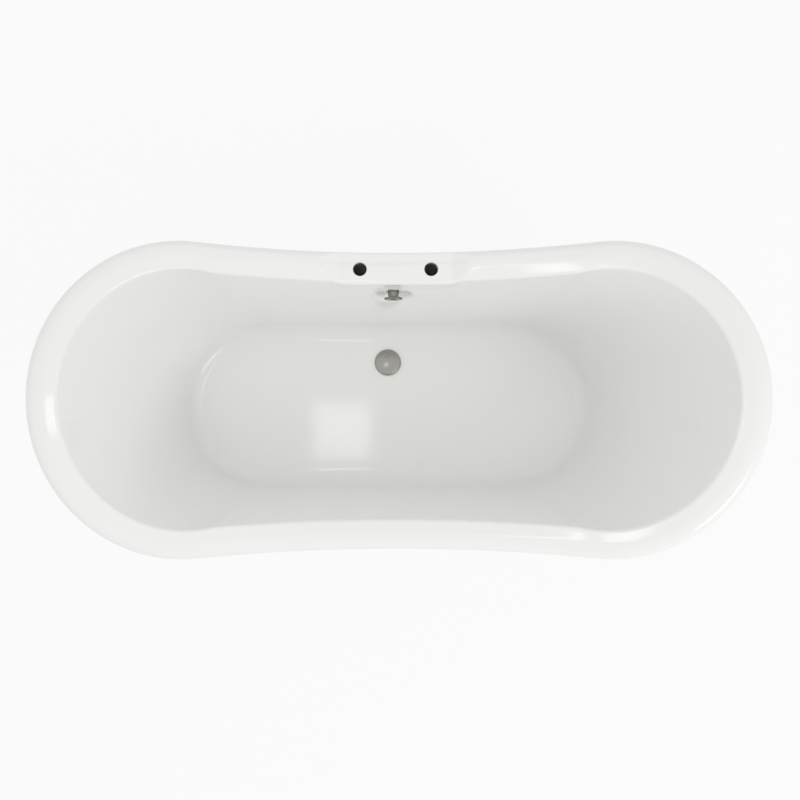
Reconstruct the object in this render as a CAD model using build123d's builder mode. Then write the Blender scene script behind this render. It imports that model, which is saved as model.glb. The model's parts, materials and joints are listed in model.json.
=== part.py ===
from build123d import *
from math import cos, pi, radians, sin, sqrt
import os

# Freestanding double-ended bath on a pedestal. Lengths are in millimetres, angles in degrees.
# The origin is the centre of the footprint on the floor: +X along the bath, +Y towards the
# tap ledge, +Z up.

# Outer edge of the rim, seen from above
bath_length = 1762
bath_width = 788
end_length = 356
end_sweep = 93.7
crown_mid = 590
crown_tip = 760

# Rolled rim, measured inwards from its outer edge and down from its crown
rim_width = 76
crown_inset = 40
shoulder_drop = 10
edge_drop = 1.5
lip_drop = 50
shoulder_radius = 20
crown_radius = 70
edge_radius = 26

# Inside of the tub
wall = 6
floor_top = 140
floor_centre = 353
floor_radius = 232
floor_fillet = 50
flat_margin = 60
seam_lap = 8
cut_margin = 36
section_count = 40
section_focus = 0.5
section_start = 6

# Tap ledge and tap holes
ledge_drop = 10
ledge_front = 295.4
ledge_flat = 145
ledge_end = 184
ledge_corner_depth = 20.6
ramp_reach = 190
ledge_edge_radius = 6
ledge_lap = 5
ridge_front_inset = 55.4
ridge_back_inset = 26.5
ledge_outer_inset = 9
tap_spacing = 180
tap_radius = 17.5
tap_inset = 43.7
ledge_board_thickness = 18
ledge_board_half_length = 130
ledge_board_gap = 0.6
ledge_board_width = 53

# Outer hull and the bead that bonds it to the rim
hull_inset = 10
hull_thickness = 5
hull_top_drop = 30
hull_foot = 97
hull_centre = 335
hull_radius = 265
hull_top_pull = 0.08
hull_foot_pull = 0.4
hull_top_rise = 0.35
hull_foot_rise = 0.22
bead_bottom_drop = 48
bead_top_drop = 38
seat_gap = 0.3

# Pedestal
pedestal_ground_gap = 2
pedestal_wall = 5
pedestal_shelf = 13
pedestal_top_band = 12
pedestal_top_overhang = 6
pedestal_band_overhang = 9
pedestal_waist_overhang = 11
pedestal_base_overhang = 41
pedestal_cove_height = 36
pedestal_base_height = 30
cove_radius = 20
base_edge_radius = 6
band_radius = 4
pedestal_inner_offset = 4

# Cradle under the floor
board_thickness = 18
board_centre = 320
board_radius = 180
board_hole_radius = 46
rail_x = 330
rail_half_length = 240
rail_width = 40
rail_height = 30
rail_wall = 3
rail_screw_rows = (60, 140)
rail_screw_radius = 2.5
rail_screw_length = 12
rail_screw_head_radius = 4.5
rail_screw_head_height = 3
screw_access_radius = 6
bracket_start = 218
bracket_gap = 0.8
bracket_thickness = 3
bracket_drop = 36
bracket_screw_y = 232
bracket_screw_radius = 3
bracket_screw_head_radius = 5.5
bracket_screw_head_height = 4
bracket_screw_reach = 6

# Feet
foot_y = 200
stud_radius = 5
stud_top = 130
stud_chamfer = 1
pad_radius = 25
pad_height = 12
pad_floor = 5
pad_neck_radius = 10
nut_radius = 9
nut_height = 8
fit_gap = 0.05

# Waste
waste_y = 128
waste_hole_radius = 27
flange_radius = 39
flange_height = 3
flange_bevel = 2
flange_mouth_radius = 24
tail_radius = 26
tail_bore = 22
tail_length = 20
guide_radius = 6
guide_height = 6
guide_width = 4
guide_lap = 1.5
lower_seal_height = 3
lower_seal_bore = 28
lower_seal_radius = 37
body_flange_radius = 38
body_flange_height = 4
body_radius = 32
body_bottom = 84
body_base = 4
outlet_radius = 23.9
outlet_bore = 20
outlet_bottom = 56
inlet_z = 100
inlet_reach = 60
pipe_radius = 13
pipe_bore = 10
pipe_root = 3
plug_radius = 36
plug_edge = 1.5
plug_crown = 7.5
plug_seal_bore = 24.5
plug_seal_radius = 33
plug_seal_height = 1.7
stem_radius = 3
lever_arm = 18
lever_hub_radius = 4.5
lever_nose_radius = 3
lever_width = 6
lever_gap = 0.4
pin_radius = 2
pin_half_length = 20

# Overflow and its control
overflow_z = 466
overflow_hole_radius = 24
pocket_radius = 42
pocket_taper_radius = 54
pocket_depth = 30
boss_radius = 54
boss_half_height = 66
front_gasket_height = 1.5
front_gasket_bore = 25
front_gasket_radius = 33
rose_radius = 36
rose_height = 2.5
rose_edge_radius = 1
rose_tail_radius = 23
rose_tail_bore = 20.5
rose_tail_length = 20
rose_slot_inner = 16.8
rose_slot_outer = 20
rose_slot_count = 8
rose_web = 4
collar_back_radius = 15.5
collar_front_radius = 13.2
collar_length = 15.2
spindle_radius = 4
knob_height = 5.8
knob_core_radius = 19
knob_lobe_radius = 6.5
knob_lobe_pitch_radius = 17
knob_lobes = 6
knob_edge_radius = 1.2
knob_gap = 0.4
cap_radius = 8
cap_height = 1.6
cap_edge_radius = 0.8
rear_seal_height = 3
rear_seal_bore = 25
rear_seal_radius = 35
elbow_flange_height = 4
elbow_radius = 29
elbow_bore = 25
elbow_length = 36.6
elbow_back_wall = 4
elbow_thread_length = 10.6
outlet_drop = 42
cam_radius = 16
cam_width = 5
cam_setback = 22.6

# Hose and control cable between overflow and waste
hose_corner_radii = (100, 60)
hose_top_corner_drop = 26
hose_foot_y = 252
hose_nut_radius = 17.5
hose_nut_length = 14
hose_nut_lap = 6
nut_turn = 30
cable_x = 22
cable_radius = 2.5
cable_wire_bore = 1.2
lug_width = 10
lug_height = 14
lug_root = 10
lug_gap = 6
ferrule_radius = 4
ferrule_length = 14

nearly_zero = 1e-9

# Places worked out from the sizes
half_length = bath_length / 2
half_width = bath_width / 2
end_centre = half_length - end_length
end_turn = radians(end_sweep)
waist_start = Vector(end_centre + end_length * cos(end_turn), half_width * sin(end_turn))
waist_slope = -half_width * cos(end_turn) / (end_length * sin(end_turn))
floor_bottom = floor_top - wall
plate_radius = floor_radius - flat_margin + seam_lap


def crown_height(x):
    """Height of the rim's crown, which rises towards both ends."""
    return crown_mid + (crown_tip - crown_mid) * (x / half_length) ** 2


def rim_place(place):
    """Point on the rim's outer edge and its outward normal.

    Place 0 is the end at +X, 2 the middle of the back, 4 the end at -X and 6 the middle of
    the front. Each end is half an ellipse, and a shallow arc joins them as the waist.
    """
    turn = place % 8
    at_back = turn <= 4
    turn = turn if at_back else 8 - turn
    at_right = turn <= 2
    turn = turn if at_right else 4 - turn
    if turn <= 1:
        x = end_centre + end_length * cos(end_turn * turn)
        y = half_width * sin(end_turn * turn)
        normal_x = cos(end_turn * turn) / end_length
        normal_y = sin(end_turn * turn) / half_width
    else:
        x = waist_start.X * (2 - turn)
        y = waist_start.Y - waist_slope * (waist_start.X**2 - x**2) / (2 * waist_start.X)
        normal_x = -waist_slope * x / waist_start.X
        normal_y = 1
    side_x = 1 if at_right else -1
    side_y = 1 if at_back else -1
    return Vector(side_x * x, side_y * y), Vector(side_x * normal_x, side_y * normal_y).normalized()


def section_plane(place):
    """Upright plane through a place on the rim, with its X outwards and its Y up."""
    point, normal = rim_place(place)
    focus = Vector(section_focus * point.X, 0)
    outwards = (point - focus).normalized()
    return Plane(origin=focus, x_dir=outwards, z_dir=outwards.cross(Vector(0, 0, 1)))


def rim_reach(place):
    """Distance from the section's origin to the rim's outer edge."""
    point, normal = rim_place(place)
    return (point - section_plane(place).origin).length


def rim_spread(place):
    """How much wider the rim is in its slanting section than square across."""
    point, normal = rim_place(place)
    return 1 / section_plane(place).x_dir.dot(normal)


def oval_reach(place, centre, radius):
    """Distance from the section's origin to an oval of two half circles and straight sides."""
    plane = section_plane(place)
    ahead = abs(plane.x_dir.X)
    start = abs(plane.origin.X)
    straight = radius / max(abs(plane.x_dir.Y), nearly_zero)
    if start + straight * ahead < centre:
        return straight
    gap = start - centre
    along = gap * ahead
    return sqrt(along**2 - gap**2 + radius**2) - along


def beside(corners, distance):
    """Corners of a line that runs beside another one, to its right."""
    ways = [(end - start).normalized() for start, end in zip(corners, corners[1:])]
    sides = [Vector(way.Y, -way.X) for way in ways]
    before = [sides[0]] + sides
    after = sides + [sides[-1]]
    return [
        corner + (one + two) * (distance / (1 + one.dot(two)))
        for corner, one, two in zip(corners, before, after)
    ]


def tub_outline(place):
    """Section of the tub from its flat floor up the wall and over the rolled rim."""
    rim = rim_reach(place)
    spread = rim_spread(place)
    crown = crown_height(rim_place(place)[0].X)
    inside = [
        Vector(oval_reach(place, floor_centre, floor_radius - flat_margin), floor_top),
        Vector(oval_reach(place, floor_centre, floor_radius), floor_top),
        Vector(rim - rim_width * spread, crown - shoulder_drop),
        Vector(rim - crown_inset * spread, crown),
        Vector(rim, crown - edge_drop),
        Vector(rim, crown - lip_drop),
    ]
    radii = [floor_fillet, shoulder_radius, crown_radius, edge_radius]
    hidden_radii = [
        floor_fillet + wall,
        shoulder_radius - wall,
        crown_radius - wall,
        edge_radius - wall,
    ]
    with BuildLine() as outline:
        shown = FilletPolyline(*inside, radius=radii)
        hidden = FilletPolyline(*beside(inside, wall), radius=hidden_radii)
        Line(shown @ 0, hidden @ 0)
        Line(shown @ 1, hidden @ 1)
    return outline.line


def hull_outline(place):
    """Section of the outer hull, a slack curve from under the rim in to the pedestal."""
    top_reach = rim_reach(place) - hull_inset
    foot_reach = oval_reach(place, hull_centre, hull_radius)
    top_height = crown_height(rim_place(place)[0].X) - hull_top_drop
    gap = top_reach - foot_reach
    rise = top_height - hull_foot
    curve = [
        Vector(top_reach, top_height),
        Vector(top_reach - hull_top_pull * gap, top_height - hull_top_rise * rise),
        Vector(foot_reach + hull_foot_pull * gap, hull_foot + hull_foot_rise * rise),
        Vector(foot_reach, hull_foot),
    ]
    with BuildLine() as outline:
        outside = Bezier(*curve)
        inside = Bezier(*[point - Vector(hull_thickness, 0) for point in curve])
        Line(outside @ 0, inside @ 0)
        Line(outside @ 1, inside @ 1)
    return outline.line


def bead_outline(place):
    """Section of the bonding bead between the rim's lip and the hull."""
    rim = rim_reach(place)
    crown = crown_height(rim_place(place)[0].X)
    outer = rim - wall - seat_gap
    inner = rim - hull_inset + seat_gap
    low = crown - bead_bottom_drop
    high = crown - bead_top_drop
    with BuildLine() as outline:
        Polyline((outer, low), (outer, high), (inner, high), (inner, low), close=True)
    return outline.line


def ring_sections(outline):
    """The same kind of section at each place round the bath, ending on the first one."""
    sections = []
    for number in range(section_count):
        place = section_start + number * 8 / section_count
        with BuildSketch(section_plane(place)) as section:
            with BuildLine():
                add(outline(place))
            make_face()
        sections.append(section.sketch.faces()[0])
    return sections + sections[:1]


def wall_y(z):
    """Where the back wall's inner surface stands at a height, in the middle of the bath."""
    head_y = rim_reach(2) - rim_width
    head_z = crown_mid - shoulder_drop
    return head_y - (head_z - z) * (head_y - floor_radius) / (head_z - floor_top)


def wall_z(y):
    """Height at which the back wall's inner surface stands at a distance from the middle."""
    head_y = rim_reach(2) - rim_width
    head_z = crown_mid - shoulder_drop
    return head_z - (head_y - y) * (head_z - floor_top) / (head_y - floor_radius)


def finish(part, label):
    """Name a piece and write it."""
    part.label = label
    export_step(part, f"parts/{label}.step")


os.makedirs("parts", exist_ok=True)

# Solid under the tap ledge: its front stands proud of the wall and its ends slant back
ledge_top = crown_mid - ledge_drop
ledge_bottom = ledge_top - wall
ledge_back = rim_reach(2) - ledge_outer_inset
ledge_crest = crown_height(ledge_end) - ledge_lap
ledge_foot_z = wall_z(ledge_front) - ledge_lap
shoulder_z = crown_height(ledge_end) - shoulder_drop
crest_rise = shoulder_z - ledge_top
half_wall = wall / 2

with BuildPart() as ledge_block:
    with BuildSketch(Plane.YZ):
        with BuildLine():
            front = Line((ledge_front, ledge_foot_z), (ledge_front, ledge_top - ledge_edge_radius))
            edge_end = (ledge_front + ledge_edge_radius, ledge_top)
            TangentArc(front @ 1, edge_end, tangent=front % 1)
            Polyline(
                edge_end,
                (ledge_front + ledge_edge_radius + crest_rise, shoulder_z),
                (rim_reach(2) - ridge_front_inset, ledge_crest),
                (rim_reach(2) - ridge_back_inset, ledge_crest),
                (ledge_back - half_wall, ledge_top + half_wall),
                (ledge_back, ledge_top),
                (ledge_back, ledge_bottom),
                (wall_y(ledge_bottom) + half_wall, ledge_bottom),
                (wall_y(ledge_foot_z) + half_wall, ledge_foot_z),
                front @ 0,
            )
        make_face()
    extrude(amount=ledge_end, both=True)
    slant = Vector(ledge_end - ledge_flat, ledge_corner_depth)
    with BuildSketch(Plane.XY.offset(ledge_foot_z)):
        for side in (-1, 1):
            with BuildLine():
                start = Vector(ledge_flat, ledge_front) - slant
                end = Vector(ledge_flat, ledge_front) + slant * 2
                Polyline(
                    (side * start.X, start.Y),
                    (side * end.X, end.Y),
                    (side * end.X, start.Y),
                    close=True,
                )
            make_face()
    extrude(amount=ledge_crest, mode=Mode.SUBTRACT)

# Wedge behind the wall for the upright overflow pocket
boss_back = ledge_front + wall
boss_low = overflow_z - boss_half_height

with BuildPart() as overflow_boss:
    with BuildSketch(Plane.YZ):
        with BuildLine():
            Polyline(
                (wall_y(boss_low) + half_wall, boss_low),
                (boss_back, boss_low),
                (boss_back, wall_z(boss_back - half_wall)),
                close=True,
            )
        make_face()
    extrude(amount=boss_radius, both=True)
    with BuildSketch(Plane.XZ.offset(-boss_back)):
        with Locations((0, overflow_z)):
            Circle(boss_radius)
    extrude(amount=boss_back, mode=Mode.INTERSECT)

# Acrylic tub
ramp_slope = (crown_height(ramp_reach) - ledge_top) / (ramp_reach - ledge_flat)
cut_reach = ramp_reach + cut_margin
cut_top = ledge_top + ramp_slope * (cut_reach - ledge_flat)
cavity_half_length = ledge_flat - wall
cavity_floor_z = ledge_foot_z - cut_margin
tap_places = [(side * tap_spacing / 2, rim_reach(2) - tap_inset) for side in (-1, 1)]

with BuildSketch(Plane.XY.offset(floor_bottom)) as floor_plate:
    SlotCenterToCenter(2 * floor_centre, 2 * plate_radius)

with BuildPart() as bath_tub:
    loft(sections=ring_sections(tub_outline))
    extrude(floor_plate.sketch, amount=floor_top, both=True, mode=Mode.SUBTRACT)
    extrude(floor_plate.sketch, amount=wall)
    add(ledge_block.part)
    with BuildSketch(Plane.XZ.offset(-bath_width)):
        with BuildLine():
            Polyline(
                (-cut_reach, cut_top),
                (-ledge_flat, ledge_top),
                (ledge_flat, ledge_top),
                (cut_reach, cut_top),
                close=True,
            )
        make_face()
    extrude(amount=bath_width - ledge_front + ledge_edge_radius, mode=Mode.SUBTRACT)
    with BuildSketch(Plane.XY.offset(ledge_bottom)):
        with Locations((0, (boss_back + ledge_back - wall) / 2)):
            Rectangle(2 * cavity_half_length, ledge_back - wall - boss_back)
    extrude(amount=cavity_floor_z - ledge_bottom, mode=Mode.SUBTRACT)
    with BuildSketch(Plane.XY.offset(crown_mid)):
        with Locations(*tap_places):
            Circle(tap_radius)
    extrude(amount=-cut_margin, mode=Mode.SUBTRACT)
    add(overflow_boss.part)
    with BuildSketch(Plane.XZ.offset(-ledge_front)):
        with Locations((0, overflow_z)):
            Circle(pocket_radius)
    with BuildSketch(Plane.XZ.offset(pocket_depth - ledge_front)):
        with Locations((0, overflow_z)):
            Circle(pocket_taper_radius)
    loft(mode=Mode.SUBTRACT)
    with BuildSketch(Plane.XZ.offset(-boss_back)):
        with Locations((0, overflow_z)):
            Circle(overflow_hole_radius)
    extrude(amount=pocket_depth, mode=Mode.SUBTRACT)
    with BuildSketch(Plane.XY.offset(floor_bottom)):
        with Locations((0, waste_y)):
            Circle(waste_hole_radius)
    extrude(amount=wall, mode=Mode.SUBTRACT)
finish(bath_tub.part, "bath_tub")

# Outer hull, bonding bead and pedestal
with BuildPart() as outer_hull:
    loft(sections=ring_sections(hull_outline))
finish(outer_hull.part, "outer_hull")

with BuildPart() as rim_bead:
    loft(sections=ring_sections(bead_outline))
finish(rim_bead.part, "rim_bead")

pedestal_top = hull_foot - seat_gap
pedestal_inner = hull_radius + pedestal_inner_offset
base_reach = hull_radius + pedestal_base_overhang

with BuildPart() as pedestal:
    with BuildLine(Plane.XY.offset(pedestal_top)) as pedestal_path:
        back_run = Line((0, hull_radius), (hull_centre, hull_radius))
        right_end = TangentArc(back_run @ 1, (hull_centre, -hull_radius), tangent=back_run % 1)
        front_run = Line(right_end @ 1, (-hull_centre, -hull_radius))
        left_end = TangentArc(front_run @ 1, (-hull_centre, hull_radius), tangent=front_run % 1)
        Line(left_end @ 1, back_run @ 0)
    with BuildSketch(Plane.YZ):
        with BuildLine():
            outside = FilletPolyline(
                (hull_radius + pedestal_top_overhang, pedestal_top),
                (hull_radius + pedestal_band_overhang, pedestal_top - pedestal_top_band),
                (hull_radius + pedestal_waist_overhang, pedestal_cove_height),
                (base_reach, pedestal_base_height),
                (base_reach, pedestal_ground_gap),
                radius=[band_radius, cove_radius, base_edge_radius],
            )
            Polyline(
                outside @ 0,
                (hull_radius - pedestal_shelf, pedestal_top),
                (hull_radius - pedestal_shelf, pedestal_top - pedestal_wall),
                (pedestal_inner, pedestal_top - pedestal_wall),
                (pedestal_inner, pedestal_cove_height - pedestal_wall),
                (base_reach - pedestal_wall, pedestal_base_height - pedestal_wall),
                (base_reach - pedestal_wall, pedestal_ground_gap),
                outside @ 1,
            )
        make_face()
    sweep(path=pedestal_path.wires()[0])
finish(pedestal.part, "pedestal")

# Board under the tap ledge
ledge_board_y = boss_back + ledge_board_gap + ledge_board_width / 2

with BuildPart() as tap_ledge_board:
    with BuildSketch(Plane.XY.offset(ledge_bottom)):
        with Locations((0, ledge_board_y)):
            Rectangle(2 * ledge_board_half_length, ledge_board_width)
        with Locations(*tap_places):
            Circle(tap_radius, mode=Mode.SUBTRACT)
    extrude(amount=-ledge_board_thickness)
finish(tap_ledge_board.part, "tap_ledge_board")

# Board under the floor, with a clear hole round the waste and pilot holes for the rail screws
board_bottom = floor_bottom - board_thickness
rail_bottom = board_bottom - rail_height
screw_places = [
    (side * rail_x, row * end) for side in (-1, 1) for row in rail_screw_rows for end in (-1, 1)
]

with BuildPart() as base_board:
    with BuildSketch(Plane.XY.offset(floor_bottom)):
        SlotCenterToCenter(2 * board_centre, 2 * board_radius)
        with Locations((0, waste_y)):
            Circle(board_hole_radius, mode=Mode.SUBTRACT)
    extrude(amount=-board_thickness)
    with BuildSketch(Plane.XY.offset(board_bottom)):
        with Locations(*screw_places):
            Circle(rail_screw_radius + fit_gap)
    extrude(amount=rail_screw_length, mode=Mode.SUBTRACT)
finish(base_board.part, "base_board")

# Two steel cross rails, box sections with holes for screws and foot studs
for side, label in ((-1, "cradle_rail_left"), (1, "cradle_rail_right")):
    with BuildPart() as cradle_rail:
        with BuildSketch(Plane.XZ.offset(-rail_half_length)):
            with Locations((side * rail_x, board_bottom - rail_height / 2)):
                Rectangle(rail_width, rail_height)
                Rectangle(rail_width - 2 * rail_wall, rail_height - 2 * rail_wall, mode=Mode.SUBTRACT)
        extrude(amount=2 * rail_half_length)
        with BuildSketch(Plane.XY.offset(rail_bottom)):
            with Locations((side * rail_x, foot_y), (side * rail_x, -foot_y)):
                Circle(stud_radius + fit_gap)
        extrude(amount=rail_height, mode=Mode.SUBTRACT)
        with BuildSketch(Plane.XY.offset(board_bottom)):
            with Locations(*[place for place in screw_places if place[0] * side > 0]):
                Circle(rail_screw_radius + fit_gap)
        extrude(amount=-rail_wall, mode=Mode.SUBTRACT)
        with BuildSketch(Plane.XY.offset(rail_bottom)):
            with Locations(*[place for place in screw_places if place[0] * side > 0]):
                Circle(screw_access_radius)
            with Locations((side * rail_x, bracket_screw_y), (side * rail_x, -bracket_screw_y)):
                Circle(bracket_screw_radius + fit_gap)
        extrude(amount=rail_wall, mode=Mode.SUBTRACT)
    finish(cradle_rail.part, label)

with BuildPart() as rail_screws:
    with BuildSketch(Plane.XY.offset(board_bottom - rail_wall)):
        with Locations(*screw_places):
            Circle(rail_screw_head_radius)
    extrude(amount=-rail_screw_head_height)
    with BuildSketch(Plane.XY.offset(board_bottom - rail_wall)):
        with Locations(*screw_places):
            Circle(rail_screw_radius)
    extrude(amount=rail_wall + rail_screw_length)
finish(rail_screws.part, "rail_screws")

# Angle brackets that hold the pedestal to the rails
bracket_end = pedestal_inner - bracket_gap
bracket_screws_at = [(side * rail_x, end * bracket_screw_y) for side in (-1, 1) for end in (-1, 1)]

with BuildPart() as pedestal_brackets:
    with BuildSketch(Plane.XY.offset(rail_bottom)):
        for side in (-1, 1):
            for end in (-1, 1):
                with Locations((side * rail_x, end * (bracket_start + bracket_end) / 2)):
                    Rectangle(rail_width, bracket_end - bracket_start)
        with Locations(*bracket_screws_at):
            Circle(bracket_screw_radius + fit_gap, mode=Mode.SUBTRACT)
    extrude(amount=-bracket_thickness)
    with BuildSketch(Plane.XY.offset(rail_bottom)):
        for side in (-1, 1):
            for end in (-1, 1):
                with Locations((side * rail_x, end * (bracket_end - bracket_thickness / 2))):
                    Rectangle(rail_width, bracket_thickness)
    extrude(amount=-bracket_drop)
finish(pedestal_brackets.part, "pedestal_brackets")

with BuildPart() as bracket_screws:
    with BuildSketch(Plane.XY.offset(rail_bottom - bracket_thickness)):
        with Locations(*bracket_screws_at):
            RegularPolygon(bracket_screw_head_radius, 6)
    extrude(amount=-bracket_screw_head_height)
    with BuildSketch(Plane.XY.offset(rail_bottom - bracket_thickness)):
        with Locations(*bracket_screws_at):
            Circle(bracket_screw_radius)
    extrude(amount=bracket_thickness + bracket_screw_reach)
finish(bracket_screws.part, "bracket_screws")

# Four adjustable feet: a stud through the rail, its lock nut and a pad
feet = {
    "front_left": (-rail_x, -foot_y),
    "front_right": (rail_x, -foot_y),
    "back_left": (-rail_x, foot_y),
    "back_right": (rail_x, foot_y),
}
for corner, place in feet.items():
    with BuildPart() as foot_stud:
        with BuildSketch(Plane.XY.offset(pad_floor)):
            with Locations(place):
                Circle(stud_radius)
        extrude(amount=stud_top - pad_floor)
        chamfer(foot_stud.faces().sort_by(Axis.Z)[-1].edges(), length=stud_chamfer)
    finish(foot_stud.part, f"foot_stud_{corner}")
    with BuildPart() as foot_pad:
        with BuildSketch(Plane.XY):
            with Locations(place):
                Circle(pad_radius)
        extrude(amount=pad_floor)
        with BuildSketch(Plane.XY.offset(pad_floor)):
            with Locations(place):
                Circle(pad_radius)
        with BuildSketch(Plane.XY.offset(pad_height)):
            with Locations(place):
                Circle(pad_neck_radius)
        loft()
        with BuildSketch(Plane.XY.offset(pad_height)):
            with Locations(place):
                Circle(stud_radius + fit_gap)
        extrude(amount=pad_floor - pad_height, mode=Mode.SUBTRACT)
    finish(foot_pad.part, f"foot_pad_{corner}")

with BuildPart() as lock_nuts:
    with BuildSketch(Plane.XY.offset(rail_bottom)):
        with Locations(*feet.values()):
            RegularPolygon(nut_radius, 6)
            Circle(stud_radius + fit_gap, mode=Mode.SUBTRACT)
    extrude(amount=-nut_height)
finish(lock_nuts.part, "lock_nuts")

# Waste flange, screwed through the floor into the body below
waste_axis = Axis((0, waste_y, 0), (0, 0, 1))
waste_plane = Plane.XZ.offset(-waste_y)
flange_top = floor_top + flange_height
tail_end = floor_top - tail_length
guide_top = tail_end + 2 * guide_height

with BuildPart() as waste_flange:
    with BuildSketch(waste_plane):
        with BuildLine():
            Polyline(
                (flange_mouth_radius, flange_top),
                (flange_radius - flange_bevel, flange_top),
                (flange_radius, floor_top + flange_height - flange_bevel),
                (flange_radius, floor_top),
                (tail_radius, floor_top),
                (tail_radius, tail_end),
                (tail_bore, tail_end),
                (tail_bore, floor_top),
                close=True,
            )
        make_face()
    revolve(axis=waste_axis)
    with BuildSketch(Plane.XY.offset(guide_top)):
        with Locations((0, waste_y)):
            Rectangle(2 * (tail_bore + guide_lap), guide_width)
            Rectangle(guide_width, 2 * (tail_bore + guide_lap))
            Circle(guide_radius)
            Circle(stem_radius + fit_gap, mode=Mode.SUBTRACT)
    extrude(amount=-guide_height)
finish(waste_flange.part, "waste_flange")

with BuildPart() as waste_lower_seal:
    with BuildSketch(Plane.XY.offset(floor_bottom)):
        with Locations((0, waste_y)):
            Circle(lower_seal_radius)
            Circle(lower_seal_bore, mode=Mode.SUBTRACT)
    extrude(amount=-lower_seal_height)
finish(waste_lower_seal.part, "waste_lower_seal")

# Waste body: a cup with a side inlet for the overflow, a cable lug and a threaded outlet
body_top = floor_bottom - lower_seal_height
cup_bore = tail_radius + fit_gap
inlet_end = waste_y + inlet_reach
lug_end = waste_y + body_flange_radius

with BuildPart() as waste_body:
    with BuildSketch(waste_plane):
        with BuildLine():
            Polyline(
                (cup_bore, body_top),
                (body_flange_radius, body_top),
                (body_flange_radius, body_top - body_flange_height),
                (body_radius, body_top - body_flange_height),
                (body_radius, body_bottom),
                (outlet_radius, body_bottom),
                (outlet_radius, outlet_bottom),
                (outlet_bore, outlet_bottom),
                (outlet_bore, body_bottom),
                (cup_bore, body_bottom + body_base),
                close=True,
            )
        make_face()
    revolve(axis=waste_axis)
    with BuildSketch(Plane.XZ.offset(-inlet_end)):
        with Locations((0, inlet_z)):
            Circle(pipe_radius)
    extrude(amount=inlet_reach - tail_radius - pipe_root)
    with BuildSketch(Plane.XZ.offset(-lug_end)):
        with Locations((cable_x, inlet_z)):
            Rectangle(lug_width, lug_height)
    extrude(amount=lug_end - waste_y - tail_radius + lug_root)
    with BuildSketch(Plane.XY.offset(body_top)):
        with Locations((0, waste_y)):
            Circle(cup_bore)
    extrude(amount=body_bottom + body_base - body_top, mode=Mode.SUBTRACT)
    with BuildSketch(Plane.XZ.offset(-inlet_end)):
        with Locations((0, inlet_z)):
            Circle(pipe_bore)
        with Locations((cable_x, inlet_z)):
            Circle(cable_wire_bore)
    extrude(amount=inlet_reach - lug_root, mode=Mode.SUBTRACT)
    with BuildSketch(Plane.YZ):
        with Locations((waste_y + lever_arm, inlet_z)):
            Circle(pin_radius + fit_gap)
    extrude(amount=pin_half_length, both=True, mode=Mode.SUBTRACT)
finish(waste_body.part, "waste_body")

# Plug: domed cap, seal and stem, lifted by a lever in the waste body
plug_bottom = flange_top + seat_gap
cap_bottom = plug_bottom + plug_seal_height
stem_bottom = inlet_z + lever_nose_radius + lever_gap

dome_height = plug_crown - plug_edge
dome_radius = (plug_radius**2 + dome_height**2) / (2 * dome_height)

with BuildPart() as plug_cap:
    with BuildSketch(Plane.XY.offset(cap_bottom)):
        with Locations((0, waste_y)):
            Circle(plug_radius)
    extrude(amount=plug_crown)
    with Locations((0, waste_y, cap_bottom + plug_crown - dome_radius)):
        Sphere(dome_radius, mode=Mode.INTERSECT)
finish(plug_cap.part, "plug_cap")

with BuildPart() as plug_seal:
    with BuildSketch(Plane.XY.offset(plug_bottom)):
        with Locations((0, waste_y)):
            Circle(plug_seal_radius)
            Circle(plug_seal_bore, mode=Mode.SUBTRACT)
    extrude(amount=plug_seal_height)
finish(plug_seal.part, "plug_seal")

with BuildPart() as plug_stem:
    with BuildSketch(Plane.XY.offset(stem_bottom)):
        with Locations((0, waste_y)):
            Circle(stem_radius)
    extrude(amount=cap_bottom - stem_bottom)
finish(plug_stem.part, "plug_stem")

with BuildPart() as lift_lever:
    with BuildSketch(Plane.YZ):
        with Locations((waste_y + lever_arm, inlet_z)):
            Circle(lever_hub_radius)
        with Locations((waste_y, inlet_z)):
            Circle(lever_nose_radius)
        with Locations((waste_y + lever_arm / 2, inlet_z)):
            Rectangle(lever_arm, 2 * lever_nose_radius)
        with Locations((waste_y + lever_arm, inlet_z)):
            Circle(pin_radius + fit_gap, mode=Mode.SUBTRACT)
    extrude(amount=lever_width / 2, both=True)
finish(lift_lever.part, "lift_lever")

with BuildPart() as lever_pin:
    with BuildSketch(Plane.YZ):
        with Locations((waste_y + lever_arm, inlet_z)):
            Circle(pin_radius)
    extrude(amount=pin_half_length, both=True)
finish(lever_pin.part, "lever_pin")


def ring_on_wall(y, outer, bore, depth):
    """Ring round the overflow's axis, from a distance y towards the wall."""
    with BuildPart() as ring:
        with BuildSketch(Plane.XZ.offset(-y)):
            with Locations((0, overflow_z)):
                Circle(outer)
                Circle(bore, mode=Mode.SUBTRACT)
        extrude(amount=-depth)
    return ring.part


# Overflow fittings in front of the wall
gasket_face = ledge_front - front_gasket_height
rose_face = gasket_face - rose_height
collar_face = rose_face - collar_length
knob_back = collar_face - knob_gap
knob_face = knob_back - knob_height

with BuildPart() as overflow_gasket:
    add(ring_on_wall(gasket_face, front_gasket_radius, front_gasket_bore, front_gasket_height))
finish(overflow_gasket.part, "overflow_gasket")

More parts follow.
